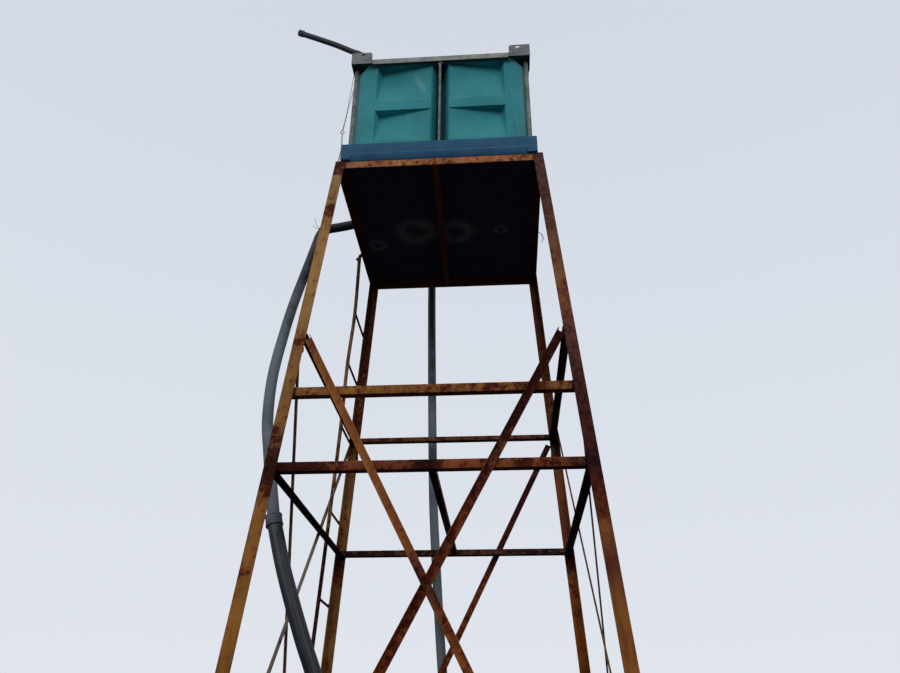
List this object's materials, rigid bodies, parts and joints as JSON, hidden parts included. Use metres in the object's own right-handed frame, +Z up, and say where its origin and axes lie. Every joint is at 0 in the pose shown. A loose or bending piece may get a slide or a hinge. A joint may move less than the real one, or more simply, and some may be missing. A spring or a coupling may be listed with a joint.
{
  "type": "water tower with plastic tank",
  "caption": "Splayed angle-iron stand with crossed braces carrying a plastic tank in a tube cage on a tray, with pipes and a side ladder.",
  "frame": {"origin": "on the ground, on the axis midway between the four feet", "axes": "+Z up, -Y towards the front face, which has the extra bar; +X to the right seen from the front"},
  "size_m": [1.8008, 2.024, 5.3312],
  "materials": {
    "painted_steel": "ochre alkyd paint on angle iron, faded, with rust blooms",
    "rusted_steel": "painted angle iron, mostly rusted through, dark red-brown",
    "galvanised_steel": "hot-dip galvanised tube and plate, dull grey",
    "tray_blue": "dark blue enamel on pressed steel, scuffed along its edges",
    "tank_green": "blow-moulded polyethylene, blue-green, slightly chalked",
    "grey_pipe": "grey polyethylene water pipe, dusty",
    "black_pipe": "black polyethylene, dull"
  },
  "bodies": {
    "root": {"brace_back_falling": "painted_steel", "brace_back_rising": "rusted_steel", "brace_front_falling": "painted_steel", "brace_front_rising": "rusted_steel", "brace_left_falling": "painted_steel", "brace_left_rising": "rusted_steel", "brace_right_falling": "painted_steel", "brace_right_rising": "rusted_steel", "cage_bracket_back_left": "galvanised_steel", "cage_bracket_back_right": "galvanised_steel", "cage_bracket_front_left": "galvanised_steel", "cage_bracket_front_right": "galvanised_steel", "cage_middle_post_back": "galvanised_steel", "cage_middle_post_front": "galvanised_steel", "cage_middle_post_left": "galvanised_steel", "cage_middle_post_right": "galvanised_steel", "cage_post_back_left": "galvanised_steel", "cage_post_back_right": "galvanised_steel", "cage_post_front_left": "galvanised_steel", "cage_post_front_right": "galvanised_steel", "cage_rail_back": "galvanised_steel", "cage_rail_front": "galvanised_steel", "cage_rail_left": "galvanised_steel", "cage_rail_right": "galvanised_steel", "deck_plate": "rusted_steel", "drop_pipe": "grey_pipe", "filler_cap": "black_pipe", "foot_back_left": "painted_steel", "foot_back_right": "painted_steel", "foot_front_left": "painted_steel", "foot_front_right": "painted_steel", "front_bar": "painted_steel", "ladder": "rusted_steel", "leg_back_left": "painted_steel", "leg_back_right": "painted_steel", "leg_front_left": "painted_steel", "leg_front_right": "painted_steel", "lower_bar_back": "painted_steel", "lower_bar_front": "rusted_steel", "lower_bar_left": "painted_steel", "lower_bar_middle": "painted_steel", "lower_bar_right": "painted_steel", "platform_beam_back": "painted_steel", "platform_beam_front": "painted_steel", "platform_beam_left": "painted_steel", "platform_beam_middle": "rusted_steel", "platform_beam_right": "painted_steel", "spout": "black_pipe", "supply_pipe": "grey_pipe", "tank_floor": "tank_green", "tank_top": "tank_green", "tank_walls": "tank_green", "tray": "tray_blue", "upper_bar_back": "painted_steel", "upper_bar_left": "painted_steel", "upper_bar_right": "painted_steel", "wire_stay": "galvanised_steel"}
  },
  "joints": []
}
